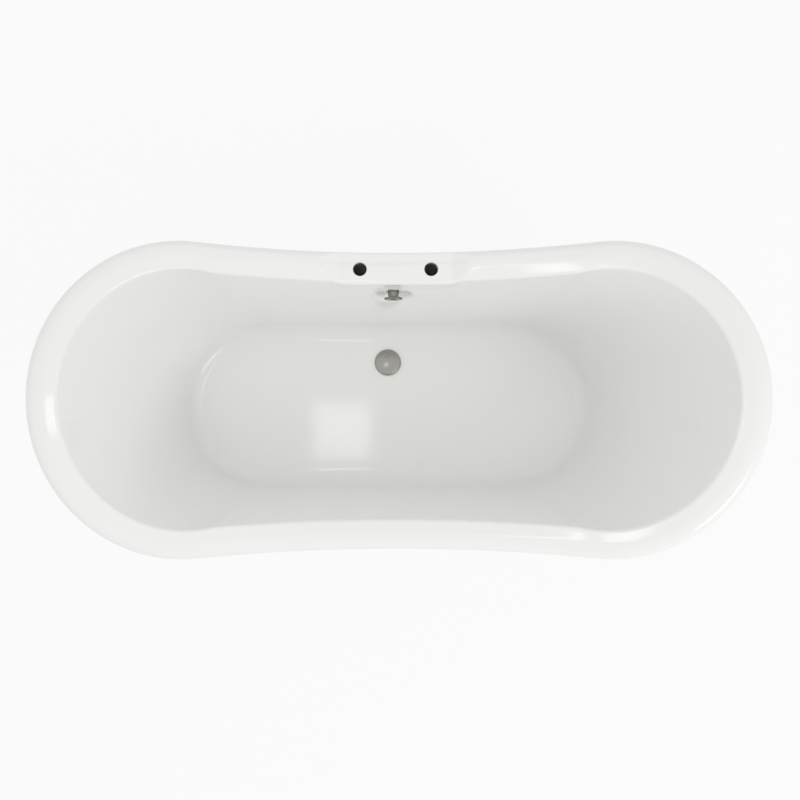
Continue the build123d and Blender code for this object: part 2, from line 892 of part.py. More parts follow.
with BuildPart() as overflow_rose:
    add(ring_on_wall(rose_face, rose_radius, spindle_radius + fit_gap, rose_height))
    fillet(overflow_rose.faces().sort_by(Axis.Y)[0].edges().sort_by(Edge.length)[-1], rose_edge_radius)
    add(ring_on_wall(gasket_face, rose_tail_radius, rose_tail_bore, rose_tail_length))
    with BuildSketch(Plane.XZ.offset(-rose_face)):
        with Locations((0, overflow_z)):
            Circle(rose_slot_outer)
            Circle(rose_slot_inner, mode=Mode.SUBTRACT)
            for number in range(rose_slot_count // 2):
                web_turn = number * 360 / rose_slot_count
                Rectangle(2 * rose_radius, rose_web, rotation=web_turn, mode=Mode.SUBTRACT)
    extrude(amount=-rose_height, mode=Mode.SUBTRACT)
finish(overflow_rose.part, "overflow_rose")

with BuildPart() as overflow_collar:
    with BuildSketch(Plane.XZ.offset(-rose_face)):
        with Locations((0, overflow_z)):
            Circle(collar_back_radius)
    with BuildSketch(Plane.XZ.offset(-collar_face)):
        with Locations((0, overflow_z)):
            Circle(collar_front_radius)
    loft()
    with BuildSketch(Plane.XZ.offset(-rose_face)):
        with Locations((0, overflow_z)):
            Circle(spindle_radius + fit_gap)
    extrude(amount=collar_length, mode=Mode.SUBTRACT)
finish(overflow_collar.part, "overflow_collar")

# Overflow fittings behind the wall
seal_back = boss_back + rear_seal_height
elbow_back = seal_back + elbow_length
outlet_y = (seal_back + elbow_thread_length + elbow_back) / 2
outlet_z = overflow_z - outlet_drop
lug_bottom = overflow_z - elbow_radius - lug_gap

with BuildPart() as overflow_rear_seal:
    add(ring_on_wall(boss_back, rear_seal_radius, rear_seal_bore, rear_seal_height))
finish(overflow_rear_seal.part, "overflow_rear_seal")

with BuildPart() as overflow_body:
    add(ring_on_wall(seal_back, rear_seal_radius, rose_tail_radius + fit_gap, elbow_flange_height))
    add(ring_on_wall(seal_back, elbow_radius, rose_tail_radius + fit_gap, elbow_thread_length))
    add(
        ring_on_wall(
            seal_back + elbow_thread_length,
            elbow_radius,
            elbow_bore,
            elbow_length - elbow_thread_length - elbow_back_wall,
        )
    )
    add(ring_on_wall(elbow_back - elbow_back_wall, elbow_radius, spindle_radius + fit_gap, elbow_back_wall))
    with BuildSketch(Plane.XY.offset(outlet_z)):
        with Locations((0, outlet_y)):
            Circle(pipe_radius)
    extrude(amount=outlet_drop - elbow_bore)
    with BuildSketch(Plane.XY.offset(lug_bottom)):
        with Locations((cable_x, outlet_y)):
            Rectangle(lug_width, lug_height)
    extrude(amount=lug_height)
    with BuildSketch(Plane.XZ.offset(-seal_back - elbow_thread_length)):
        with Locations((0, overflow_z)):
            Circle(elbow_bore)
    extrude(amount=elbow_thread_length + elbow_back_wall - elbow_length, mode=Mode.SUBTRACT)
    with BuildSketch(Plane.XY.offset(outlet_z)):
        with Locations((0, outlet_y)):
            Circle(pipe_bore)
        with Locations((cable_x, outlet_y)):
            Circle(cable_wire_bore)
    extrude(amount=outlet_drop, mode=Mode.SUBTRACT)
finish(overflow_body.part, "overflow_body")

# Turning control: spindle, cam for the cable, lobed knob and its cap
with BuildPart() as control_spindle:
    with BuildSketch(Plane.XZ.offset(-knob_face)):
        with Locations((0, overflow_z)):
            Circle(spindle_radius)
    extrude(amount=knob_face - elbow_back)
finish(control_spindle.part, "control_spindle")

with BuildPart() as cable_cam:
    cam_y = elbow_back - cam_setback
    with BuildSketch(Plane.XZ.offset(-cam_y)):
        with Locations((0, overflow_z)):
            Circle(cam_radius)
            Circle(spindle_radius + fit_gap, mode=Mode.SUBTRACT)
        with Locations((0, overflow_z + cam_radius)):
            Rectangle(2 * cam_radius, cam_radius, mode=Mode.SUBTRACT)
    extrude(amount=-cam_width)
finish(cable_cam.part, "cable_cam")

with BuildPart() as overflow_knob:
    with BuildSketch(Plane.XZ.offset(-knob_back)):
        with Locations((0, overflow_z)):
            Circle(knob_core_radius)
            with PolarLocations(knob_lobe_pitch_radius, knob_lobes):
                Circle(knob_lobe_radius)
    extrude(amount=knob_height)
    fillet(overflow_knob.faces().sort_by(Axis.Y)[0].edges(), knob_edge_radius)
    with BuildSketch(Plane.XZ.offset(-knob_back)):
        with Locations((0, overflow_z)):
            Circle(spindle_radius + fit_gap)
    extrude(amount=knob_height, mode=Mode.SUBTRACT)
finish(overflow_knob.part, "overflow_knob")

with BuildPart() as knob_cap:
    with BuildSketch(Plane.XZ.offset(-knob_face)):
        with Locations((0, overflow_z)):
            Circle(cap_radius)
    extrude(amount=cap_height)
    fillet(knob_cap.faces().sort_by(Axis.Y)[0].edges(), cap_edge_radius)
finish(knob_cap.part, "knob_cap")

# Hose from the overflow down behind the tub to the waste, and the cable beside it
hose_path = [
    Vector(0, outlet_y, outlet_z),
    Vector(0, outlet_y, outlet_z - hose_top_corner_drop),
    Vector(0, hose_foot_y, inlet_z),
    Vector(0, inlet_end, inlet_z),
]
cable_path = [point + Vector(cable_x, 0, 0) for point in hose_path]
cable_path[0] = Vector(cable_x, outlet_y, lug_bottom)
cable_path[-1] = Vector(cable_x, lug_end, inlet_z)


def tube(path, radius, bore):
    """Tube along straight runs joined by large arcs, starting downwards."""
    with BuildPart() as length_of_tube:
        with BuildLine() as route:
            FilletPolyline(*path, radius=list(hose_corner_radii))
        with BuildSketch(Plane(origin=path[0], z_dir=(0, 0, -1))):
            Circle(radius)
            if bore:
                Circle(bore, mode=Mode.SUBTRACT)
        sweep(path=route.wires()[0])
    return length_of_tube.part, route.wires()[0].length


with BuildPart() as overflow_hose:
    hose_tube, hose_length = tube(hose_path, pipe_radius, pipe_bore)
    add(hose_tube)
finish(overflow_hose.part, "overflow_hose")
hose_share = overflow_hose.part.volume / (hose_length * pi * (pipe_radius**2 - pipe_bore**2))
print("hose", round(hose_length, 1), "mm long, corner radii", hose_corner_radii, "volume share", hose_share)

with BuildPart() as control_cable:
    cable_tube, cable_length = tube(cable_path, cable_radius, 0)
    add(cable_tube)
finish(control_cable.part, "control_cable")
cable_share = control_cable.part.volume / (cable_length * pi * cable_radius**2)
print("cable", round(cable_length, 1), "mm long, volume share", cable_share)

hose_turn = Plane(origin=(0, outlet_y, outlet_z + hose_nut_lap), x_dir=(0, 1, 0), z_dir=(0, 0, -1))
with BuildPart() as hose_nut_upper:
    with BuildSketch(hose_turn):
        RegularPolygon(hose_nut_radius, 6, rotation=nut_turn)
        Circle(pipe_radius + fit_gap, mode=Mode.SUBTRACT)
    extrude(amount=hose_nut_length)
finish(hose_nut_upper.part, "hose_nut_upper")

inlet_turn = Plane(origin=(0, inlet_end - hose_nut_lap, inlet_z), x_dir=(0, 0, 1), z_dir=(0, 1, 0))
with BuildPart() as hose_nut_lower:
    with BuildSketch(inlet_turn):
        RegularPolygon(hose_nut_radius, 6)
        Circle(pipe_radius + fit_gap, mode=Mode.SUBTRACT)
    extrude(amount=hose_nut_length)
finish(hose_nut_lower.part, "hose_nut_lower")

with BuildPart() as cable_ferrules:
    with BuildSketch(Plane.XY.offset(lug_bottom)):
        with Locations((cable_x, outlet_y)):
            Circle(ferrule_radius)
            Circle(cable_radius + fit_gap, mode=Mode.SUBTRACT)
    extrude(amount=-ferrule_length)
    with BuildSketch(Plane.XZ.offset(-lug_end)):
        with Locations((cable_x, inlet_z)):
            Circle(ferrule_radius)
            Circle(cable_radius + fit_gap, mode=Mode.SUBTRACT)
    extrude(amount=-ferrule_length)
finish(cable_ferrules.part, "cable_ferrules")
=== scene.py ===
# %% [markdown]
# # A freestanding bath on a pedestal
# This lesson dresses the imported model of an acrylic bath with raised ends, a tap ledge, a
# turning overflow control and a domed waste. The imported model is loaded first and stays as
# it is: it says where each piece goes. New meshes take the place of the pieces that show
# most, because a glossy skin shows every flat facet.

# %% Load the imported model
import json
from math import cos, pi, radians, sin

import bpy
import numpy as np
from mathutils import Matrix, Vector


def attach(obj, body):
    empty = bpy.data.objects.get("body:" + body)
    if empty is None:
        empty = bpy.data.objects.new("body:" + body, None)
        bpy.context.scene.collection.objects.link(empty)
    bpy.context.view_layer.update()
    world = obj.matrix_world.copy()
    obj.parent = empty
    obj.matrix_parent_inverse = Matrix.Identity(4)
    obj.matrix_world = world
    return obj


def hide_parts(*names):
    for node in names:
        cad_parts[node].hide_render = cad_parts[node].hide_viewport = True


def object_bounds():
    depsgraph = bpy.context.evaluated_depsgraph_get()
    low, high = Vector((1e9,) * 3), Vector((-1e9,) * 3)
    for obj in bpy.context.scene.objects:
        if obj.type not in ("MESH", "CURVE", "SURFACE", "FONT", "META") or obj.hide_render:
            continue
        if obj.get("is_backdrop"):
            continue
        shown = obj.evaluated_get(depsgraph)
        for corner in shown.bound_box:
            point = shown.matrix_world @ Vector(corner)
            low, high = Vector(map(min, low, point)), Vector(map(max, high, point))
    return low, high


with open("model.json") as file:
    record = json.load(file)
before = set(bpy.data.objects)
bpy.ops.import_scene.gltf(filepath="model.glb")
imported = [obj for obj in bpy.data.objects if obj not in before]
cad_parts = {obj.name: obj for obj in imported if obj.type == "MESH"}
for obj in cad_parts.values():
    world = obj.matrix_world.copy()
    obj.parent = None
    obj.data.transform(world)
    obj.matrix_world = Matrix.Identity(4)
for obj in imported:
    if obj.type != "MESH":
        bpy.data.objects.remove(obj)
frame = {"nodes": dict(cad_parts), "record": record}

cad_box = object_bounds()

# %% [markdown]
# ## The camera
# The picture was taken straight down from three metres, a little in front of the bath's
# middle and to its left. The bath stands right of the picture's middle, so the camera is
# shifted, as a view camera's back would be, and still looks straight down.

# %% Add the camera
CAMERA_PLACE = (-0.1267, -0.080, 3.015)
FOCAL_PIXELS = 965.7
PICTURE_PIXELS = 800
SENSOR_WIDTH = 36.0
PRINCIPAL_POINT = (345.3, 432.4)

bpy.ops.object.camera_add(location=CAMERA_PLACE, rotation=(0, 0, 0))
camera = bpy.context.object
camera.name = "photo_camera"
camera.data.sensor_width = SENSOR_WIDTH
camera.data.lens = SENSOR_WIDTH * FOCAL_PIXELS / PICTURE_PIXELS
camera.data.shift_x = 0.5 - PRINCIPAL_POINT[0] / PICTURE_PIXELS
camera.data.shift_y = PRINCIPAL_POINT[1] / PICTURE_PIXELS - 0.5
camera.data.clip_end = 60
bpy.context.scene.camera = camera
bpy.context.scene.view_settings.view_transform = "Standard"
print("lens:", round(camera.data.lens, 2), "mm")

# %% [markdown]
# ## Colours and nodes
# Colours are written as the hex values that a colour picker shows. Blender mixes light in
# linear numbers, so one function turns them. Another adds a node with its settings and
# its links, so that a material reads as a short list.

# %% Colour and node helpers
def colour(hex_value):
    """A hex colour as the four linear numbers that a socket takes."""
    channels = [int(hex_value[place:place + 2], 16) / 255 for place in (0, 2, 4)]
    linear = [c / 12.92 if c <= 0.04045 else ((c + 0.055) / 1.055) ** 2.4 for c in channels]
    return (*linear, 1.0)


def add_node(tree, kind, settings=None, values=None, links=None):
    """A node of a kind, its settings, the values of its sockets, and what feeds them."""
    node = tree.nodes.new(kind)
    for name, value in (settings or {}).items():
        setattr(node, name, value)
    for name, value in (values or {}).items():
        node.inputs[name].default_value = value
    for name, source in (links or {}).items():
        tree.links.new(source, node.inputs[name])
    return node


def new_material(name):
    """An empty material with its node tree and its output."""
    material = bpy.data.materials.new(name)
    material.use_nodes = True
    tree = material.node_tree
    tree.nodes.clear()
    return material, tree, add_node(tree, "ShaderNodeOutputMaterial")


def object_place(tree):
    """Object coordinates, in metres from the bath's origin."""
    return add_node(tree, "ShaderNodeTexCoord").outputs["Object"]


# %% [markdown]
# ## Floor and light
# The bath stands on a plain white floor in a white room, whose even light gives the soft,
# flat look of the picture. One soft box to the front and right adds the gentle shading of
# the walls, and a small square one beside the camera leaves its picture in the flat of the
# tub's floor. The background is white by the floor's own colour, and keeps the bath's shadow.

# %% Build the stage
FLOOR_SIZE = 40.0
BACKGROUND = "FFFFFF"

bpy.ops.mesh.primitive_plane_add(size=FLOOR_SIZE, location=(0, 0, -0.0005))
floor = bpy.context.object
floor.name = "studio_floor"
material, tree, output = new_material("White studio floor")
rays = add_node(tree, "ShaderNodeLightPath")
seen = add_node(
    tree, "ShaderNodeMath", {"operation": "MAXIMUM"},
    links={0: rays.outputs["Is Camera Ray"], 1: rays.outputs["Is Glossy Ray"]},
)
seen = add_node(
    tree, "ShaderNodeMath", {"operation": "MAXIMUM"},
    links={0: seen.outputs[0], 1: rays.outputs["Is Transmission Ray"]},
)
paint = add_node(tree, "ShaderNodeBsdfDiffuse", values={"Color": colour("E8E8E8")})
glow = add_node(
    tree, "ShaderNodeEmission", values={"Color": colour(BACKGROUND), "Strength": 1.0}
)
FLOOR_GLOW = 0.86
share = add_node(
    tree, "ShaderNodeMath", {"operation": "MULTIPLY"}, {1: FLOOR_GLOW}, {0: seen.outputs[0]}
)
mixed = add_node(
    tree, "ShaderNodeMixShader", links={0: share.outputs[0], 1: paint.outputs[0], 2: glow.outputs[0]}
)
tree.links.new(mixed.outputs[0], output.inputs["Surface"])
floor.data.materials.append(material)
floor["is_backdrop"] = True

world = bpy.data.worlds.new("Studio air")
bpy.context.scene.world = world
world.use_nodes = True
tree = world.node_tree
tree.nodes.clear()
output = add_node(tree, "ShaderNodeOutputWorld")
AIR_STRENGTH = 0.84
rays = add_node(tree, "ShaderNodeLightPath")
direct = add_node(
    tree, "ShaderNodeMath", {"operation": "MAXIMUM"},
    links={0: rays.outputs["Is Camera Ray"], 1: rays.outputs["Is Glossy Ray"]},
)
direct = add_node(
    tree, "ShaderNodeMath", {"operation": "MAXIMUM"},
    links={0: direct.outputs[0], 1: rays.outputs["Is Transmission Ray"]},
)
air = add_node(
    tree, "ShaderNodeBackground", values={"Color": colour("FFFFFF"), "Strength": AIR_STRENGTH}
)
white = add_node(
    tree, "ShaderNodeBackground", values={"Color": colour(BACKGROUND), "Strength": 1.0}
)
mixed = add_node(
    tree, "ShaderNodeMixShader",
    links={0: direct.outputs[0], 1: air.outputs[0], 2: white.outputs[0]},
)
tree.links.new(mixed.outputs[0], output.inputs["Surface"])


def soft_box(name, place, target, size, power):
    """A square or oblong area lamp at a place, turned to face a target."""
    bpy.ops.object.light_add(type="AREA", location=place)
    lamp = bpy.context.object
    lamp.name = name
    lamp.data.shape = "RECTANGLE"
    lamp.data.size, lamp.data.size_y = size
    lamp.data.energy = power
    aim = lamp.location - lamp.location.__class__(target)
    lamp.rotation_euler = aim.to_track_quat("Z", "Y").to_euler()
    return lamp


soft_box("key_box", (2.6, -2.6, 3.2), (0, 0, 0.4), (1.8, 1.8), 32)
soft_box("camera_box", (-0.145, -0.070, 3.06), (-0.145, -0.070, 0), (0.34, 0.34), 1.2)

# %% [markdown]
# ## Materials
# The bath is cast acrylic sheet, drawn into a mould by vacuum: bright white with a hard
# clear gloss and a very faint ripple left by the heat. The pedestal is the same sheet. The
# fittings are zinc castings with a satin chrome finish. What hides below is board, zinc
# plated steel, black moulded plastic, rubber and brass.

# %% Acrylic
WHITE_ACRYLIC = "F3F3F1"
# Acrylic's index is 1.49. The ripple of drawn sheet is some 40 mm from crest to crest.
RIPPLE_SIZE = 0.040


def acrylic(name, hex_value, roughness):
    """White cast acrylic, vacuum formed."""
    material, tree, output = new_material(name)
    place = object_place(tree)
    ripple = add_node(
        tree, "ShaderNodeTexNoise", values={"Scale": 1 / RIPPLE_SIZE, "Detail": 1.0, "Roughness": 0.4},
        links={"Vector": place},
    )
    bump = add_node(
        tree, "ShaderNodeBump", values={"Strength": 0.02, "Distance": 0.0008},
        links={"Height": ripple.outputs["Fac"]},
    )
    haze = add_node(
        tree, "ShaderNodeTexNoise", values={"Scale": 6.0, "Detail": 3.0}, links={"Vector": place}
    )
    gloss = add_node(
        tree, "ShaderNodeMapRange",
        values={"From Min": 0.3, "From Max": 0.7, "To Min": roughness * 0.85, "To Max": roughness * 1.15},
        links={"Value": haze.outputs["Fac"]},
    )
    shader = add_node(
        tree, "ShaderNodeBsdfPrincipled",
        values={"Base Color": colour(hex_value), "IOR": 1.49},
        links={"Roughness": gloss.outputs["Result"], "Normal": bump.outputs["Normal"]},
    )
    tree.links.new(shader.outputs[0], output.inputs["Surface"])
    return material


bath_acrylic = acrylic("Cast acrylic, vacuum formed", WHITE_ACRYLIC, 0.09)

# %% Metals
# Satin chrome on a zinc casting: fine polishing lines under the plating spread the
# highlights. The lines are 0.3 mm apart, drawn as coarse as 1 mm so that they show.
POLISH_LINE = 0.001


def plated_metal(name, hex_value, roughness, spread=0.25):
    """Metal with a plated, ground or drawn surface."""
    material, tree, output = new_material(name)
    place = object_place(tree)
    grain = add_node(
        tree, "ShaderNodeTexNoise", values={"Scale": 1 / POLISH_LINE, "Detail": 2.0},
        links={"Vector": place},
    )
    rough = add_node(
        tree, "ShaderNodeMapRange",
        values={
            "From Min": 0.25, "From Max": 0.75,
            "To Min": roughness * (1 - spread), "To Max": roughness * (1 + spread),
        },
        links={"Value": grain.outputs["Fac"]},
    )
    bump = add_node(
        tree, "ShaderNodeBump", values={"Strength": 0.04, "Distance": 0.0002},
        links={"Height": grain.outputs["Fac"]},
    )
    shader = add_node(
        tree, "ShaderNodeBsdfPrincipled",
        values={"Base Color": colour(hex_value), "Metallic": 1.0},
        links={"Roughness": rough.outputs["Result"], "Normal": bump.outputs["Normal"]},
    )
    tree.links.new(shader.outputs[0], output.inputs["Surface"])
    return material


satin_chrome = plated_metal("Satin chrome on zinc", "9C9A94", 0.24)
# The overflow's neck, knob and button get this darker copy of the satin chrome: painted shade.
painted_shade_chrome = plated_metal("Satin chrome, darkened as painted shade", "83817C", 0.16)
# The rose gets this much lighter copy of the chrome: painted light, so that its face reads white.
painted_light_chrome = plated_metal("Polished chrome on brass, lightened as painted light", "EDECE8", 0.12)
zinc_steel = plated_metal("Zinc plated steel", "A9ADAF", 0.38)
drawn_brass = plated_metal("Drawn brass", "C6A15A", 0.30)

# %% Plastics, rubber and board
# Moulded plastic has a fine eroded grain, about 0.4 mm, and a dull sheen.
MOULD_GRAIN = 0.0008


def moulded(name, hex_value, roughness, grain_size=MOULD_GRAIN, depth=0.00005):
    """Moulded plastic or rubber with its fine grain."""
    material, tree, output = new_material(name)
    place = object_place(tree)
    grain = add_node(
        tree, "ShaderNodeTexNoise", values={"Scale": 1 / grain_size, "Detail": 2.0},
        links={"Vector": place},
    )
    bump = add_node(
        tree, "ShaderNodeBump", values={"Strength": 0.3, "Distance": depth},
        links={"Height": grain.outputs["Fac"]},
    )
    cloud = add_node(
        tree, "ShaderNodeTexNoise", values={"Scale": 30.0, "Detail": 3.0}, links={"Vector": place}
    )
    rough = add_node(
        tree, "ShaderNodeMapRange",
        values={"From Min": 0.3, "From Max": 0.7, "To Min": roughness * 0.9, "To Max": roughness * 1.1},
        links={"Value": cloud.outputs["Fac"]},
    )
    shader = add_node(
        tree, "ShaderNodeBsdfPrincipled",
        values={"Base Color": colour(hex_value), "IOR": 1.5},
        links={"Roughness": rough.outputs["Result"], "Normal": bump.outputs["Normal"]},
    )
    tree.links.new(shader.outputs[0], output.inputs["Surface"])
    return material


black_plastic = moulded("Moulded polypropylene", "26272A", 0.45)
grey_plastic = moulded("Extruded grey hose", "8C8F92", 0.5)
black_rubber = moulded("Nitrile rubber", "1B1B1C", 0.7)
white_sealant = moulded("White bonding sealant", "E2E1DC", 0.6)

# Chipboard: pressed wood flakes, some 3 mm long, under a pale coat of sealing resin.
FLAKE_SIZE = 0.003
chipboard, tree, output = new_material("Chipboard")
place = object_place(tree)
flakes = add_node(
    tree, "ShaderNodeTexVoronoi", values={"Scale": 1 / FLAKE_SIZE}, links={"Vector": place}
)
tone = add_node(tree, "ShaderNodeValToRGB", links={"Fac": flakes.outputs["Color"]})
tone.color_ramp.elements[0].color = colour("AFA797")
tone.color_ramp.elements[1].color = colour("D3CDBF")
bump = add_node(
    tree, "ShaderNodeBump", values={"Strength": 0.4, "Distance": 0.0003},
    links={"Height": flakes.outputs["Distance"]},
)
shader = add_node(
    tree, "ShaderNodeBsdfPrincipled", values={"Roughness": 0.75},
    links={"Base Color": tone.outputs["Color"], "Normal": bump.outputs["Normal"]},
)
tree.links.new(shader.outputs[0], output.inputs["Surface"])
print("materials:", len(bpy.data.materials))

# %% [markdown]
# ## The bath's outline
# Seen from above, each end is half an ellipse and a shallow arc joins them as a waist. A
# place on the rim is a number from 0, at the right end, through 2, the middle of the back,
# 4, the left end, and 6, the middle of the front, to 8. The bath is cut by upright planes
# through such places, and each cut holds one section. All these sizes are in millimetres.

# %% Rim sizes and places
MM = 0.001
HALF_LENGTH = 881.0
HALF_WIDTH = 394.0
END_LENGTH = 356.0
END_TURN = radians(93.7)
CROWN_MID = 590.0
CROWN_TIP = 760.0
FOCUS = 0.5

end_centre = HALF_LENGTH - END_LENGTH
waist_x = end_centre + END_LENGTH * cos(END_TURN)
waist_y = HALF_WIDTH * sin(END_TURN)
waist_slope = -HALF_WIDTH * cos(END_TURN) / (END_LENGTH * sin(END_TURN))


def rim_points(places):
    """Points on the rim's outer edge, and their outward normals, for an array of places."""
    turn = np.mod(places, 8.0)
    side_y = np.where(turn <= 4, 1.0, -1.0)
    turn = np.where(turn <= 4, turn, 8 - turn)
    side_x = np.where(turn <= 2, 1.0, -1.0)
    turn = np.where(turn <= 2, turn, 4 - turn)
    angle = END_TURN * np.minimum(turn, 1)
    x = end_centre + END_LENGTH * np.cos(angle)
    y = HALF_WIDTH * np.sin(angle)
    normal = np.stack([np.cos(angle) / END_LENGTH, np.sin(angle) / HALF_WIDTH], -1)
    inner = turn > 1
    x = np.where(inner, waist_x * (2 - turn), x)
    y = np.where(inner, waist_y - waist_slope * (waist_x ** 2 - x ** 2) / (2 * waist_x), y)
    slope = np.stack([-waist_slope * x / waist_x, np.ones_like(x)], -1)
    normal = np.where(inner[:, None], slope, normal)
    normal = normal / np.linalg.norm(normal, axis=1, keepdims=True)
    sides = np.stack([side_x, side_y], -1)
    return np.stack([x, y], -1) * sides, normal * sides


def crown_height(x):
    """Height of the rim's crown, which rises towards both ends."""
    return CROWN_MID + (CROWN_TIP - CROWN_MID) * (x / HALF_LENGTH) ** 2


class Sections:
    """Upright planes through places on the rim: where each starts and which way it runs."""

    def __init__(self, places):
        self.rim, self.normal = rim_points(places)
        self.start = np.stack([FOCUS * self.rim[:, 0], np.zeros(len(places))], -1)
        run = self.rim - self.start
        self.reach = np.linalg.norm(run, axis=1)
        self.way = run / self.reach[:, None]
        self.spread = 1 / np.sum(self.way * self.normal, axis=1)
        self.crown = crown_height(self.rim[:, 0])

    def oval(self, centre, radius):
        """How far along each plane an oval lies: two half circles and two straight sides."""
        ahead = np.abs(self.way[:, 0])
        start = np.abs(self.start[:, 0])
        straight = radius / np.maximum(np.abs(self.way[:, 1]), 1e-9)
        gap = start - centre
        along = gap * ahead
        round_end = np.sqrt(np.maximum(along ** 2 - gap ** 2 + radius ** 2, 0)) - along
        return np.where(start + straight * ahead < centre, straight, round_end)

    def in_space(self, flat):
        """Points given along the planes and up, as points in the room, in millimetres."""
        ground = self.start[:, None, :] + self.way[:, None, :] * flat[:, :, :1]
        return np.concatenate([ground, flat[:, :, 1:]], -1)


def even_places(wide_step, fine_step=None, fine_reach=205.0):
    """Places once round the rim from its front middle, closer together behind the ledge."""
    table = np.linspace(6, 14, 8001)
    points, _ = rim_points(table)
    steps = np.linalg.norm(np.diff(points, axis=0), axis=1)
    run = np.concatenate([[0], np.cumsum(steps)])
    total = run[-1]
    if fine_step is None:
        marks = np.linspace(0, total, round(total / wide_step) + 1)
    else:
        side = total / 2 - fine_reach
        left = np.linspace(0, side, round(side / wide_step) + 1)
        middle = np.linspace(side, total - side, round(2 * fine_reach / fine_step) + 1)
        marks = np.concatenate([left, middle[1:-1], total - left[::-1]])
    return np.interp(marks, run, table)


def unit(vectors):
    """Vectors at length one."""
    return vectors / np.maximum(np.linalg.norm(vectors, axis=-1, keepdims=True), 1e-12)


def rounded_line(corners, radii, arc_steps, run_marks):
    """Lines through corners, each rounded by its radius, for all sections at once.

    Corners run along the second axis. Returned are the points and their normals, to the
    left of the way along the line.
    """
    corners = np.stack([np.broadcast_to(c, corners[0].shape) for c in corners], 1)
    count = corners.shape[1]
    starts, ends, arcs = [corners[:, 0]], [], []
    for number in range(1, count - 1):
        corner = corners[:, number]
        back = unit(corners[:, number - 1] - corner)
        ahead = unit(corners[:, number + 1] - corner)
        half = np.arccos(np.clip(np.sum(back * ahead, -1), -1, 1)) / 2
        cut = (radii[number - 1] / np.tan(half))[:, None]
        centre = corner + unit(back + ahead) * (radii[number - 1] / np.sin(half))[:, None]
        first = corner + back * cut - centre
        last = corner + ahead * cut - centre
        sweep = pi - 2 * half
        share = np.linspace(0, 1, arc_steps[number - 1] + 1)[None, :, None]
        angle = sweep[:, None, None]
        arc = (np.sin((1 - share) * angle) * first[:, None] + np.sin(share * angle) * last[:, None])
        arc = arc / np.sin(angle)
        arcs.append(centre[:, None] + arc)
        ends.append(corner + back * cut)
        starts.append(corner + ahead * cut)
    ends.append(corners[:, -1])
    pieces = []
    for number in range(count - 1):
        marks = np.asarray(run_marks[number])[None, :, None]
        run = starts[number][:, None] * (1 - marks) + ends[number][:, None] * marks
        pieces.append(run)
        if number < count - 2:
            pieces.append(arcs[number][:, 1:-1] if number < count - 2 else arcs[number])
    points = np.concatenate(pieces, 1)
    ways = np.empty_like(points)
    ways[:, 1:-1] = unit(points[:, 2:] - points[:, :-2])
    ways[:, 0] = unit(points[:, 1] - points[:, 0])
    ways[:, -1] = unit(points[:, -1] - points[:, -2])
    normals = np.stack([-ways[:, :, 1], ways[:, :, 0]], -1)
    return points, normals


# %% [markdown]
# ## Sheets from a grid
# A skin like a bath's is one continuous sheet. It starts as Blender's flat grid, whose
# columns run round the bath and whose rows run up its section, and each point is then
# moved to its place by the section's formula. The two edges that meet are welded.

# %% Grid, finish and hand over
def bare_scene():
    """Leave edit mode and deselect everything."""
    if bpy.context.object and bpy.context.object.mode != "OBJECT":
        bpy.ops.object.mode_set(mode="OBJECT")
    bpy.ops.object.select_all(action="DESELECT")


def grid_skin(name, places):
    """A grid whose points take the places of an array of columns by rows, in millimetres."""
    columns, rows = places.shape[:2]
    bare_scene()
    bpy.ops.mesh.primitive_grid_add(x_subdivisions=columns - 1, y_subdivisions=rows - 1, size=2)
    skin = bpy.context.object
    skin.name = name
    skin.data.name = name
    flat = np.empty(len(skin.data.vertices) * 3)
    skin.data.vertices.foreach_get("co", flat)
    flat = flat.reshape(-1, 3)
    column = np.rint((flat[:, 0] + 1) / 2 * (columns - 1)).astype(int)
    row = np.rint((flat[:, 1] + 1) / 2 * (rows - 1)).astype(int)
    skin.data.vertices.foreach_set("co", (places[column, row] * MM).ravel())
    skin.data.update()
    bpy.ops.object.mode_set(mode="EDIT")
    bpy.ops.mesh.select_all(action="SELECT")
    bpy.ops.mesh.remove_doubles(threshold=0.00001)
    return skin


def close_skin():
    """Fill what is open and turn the faces outwards, in edit mode, then leave it."""
    bpy.ops.mesh.select_all(action="SELECT")
    bpy.ops.mesh.fill_holes(sides=0)
    bpy.ops.mesh.normals_make_consistent(inside=False)
    bpy.ops.object.mode_set(mode="OBJECT")


def smooth(piece, degrees=38):
    """Smooth shading, with edges sharper than an angle kept crisp."""
    bare_scene()
    piece.select_set(True)
    bpy.context.view_layer.objects.active = piece
    bpy.ops.object.shade_smooth_by_angle(angle=radians(degrees))


def hand_over(piece, material, body, slot, *nodes):
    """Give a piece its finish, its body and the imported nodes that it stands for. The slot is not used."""
    piece.data.materials.clear()
    piece.data.materials.append(material)
    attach(piece, body)
    if nodes:
        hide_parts(*nodes)
    print(piece.name, len(piece.data.polygons), "faces")


# %% [markdown]
# ## The tub
# Each section starts on the flat floor, turns up the wall through a wide curve, goes over
# the inner shoulder, the crown and the outer edge of the rolled rim, and ends at the lip.
# The same points are then set 6 mm back to make the other side of the sheet.

# %% Tub section sizes
WALL = 6.0
RIM_WIDTH = 76.0
CROWN_INSET = 40.0
SHOULDER_DROP = 10.0
EDGE_DROP = 1.5
LIP_DROP = 50.0
FLOOR_TOP = 140.0
FLOOR_CENTRE = 353.0
FLOOR_RADIUS = 232.0
SEAM_RADIUS = 172.0
TUB_RADII = (50.0, 13.0, 70.0, 26.0)

# %% Ledge and overflow sizes
LEDGE_TOP = 580.0
LEDGE_FRONT = 293.0
LEDGE_FLAT = 145.0
LEDGE_END = 186.0
LEDGE_CORNER = 22.0
RAMP_REACH = 191.0
LEDGE_ROUND = 9.0
PLAN_ROUND = 5.0
CREASE = 2.5
OVERFLOW_Z = 466.0
POCKET_FACE = 295.4
POCKET_RADIUS = 42.0
POCKET_SLOPE = 0.4
POCKET_ROUND = 9.0

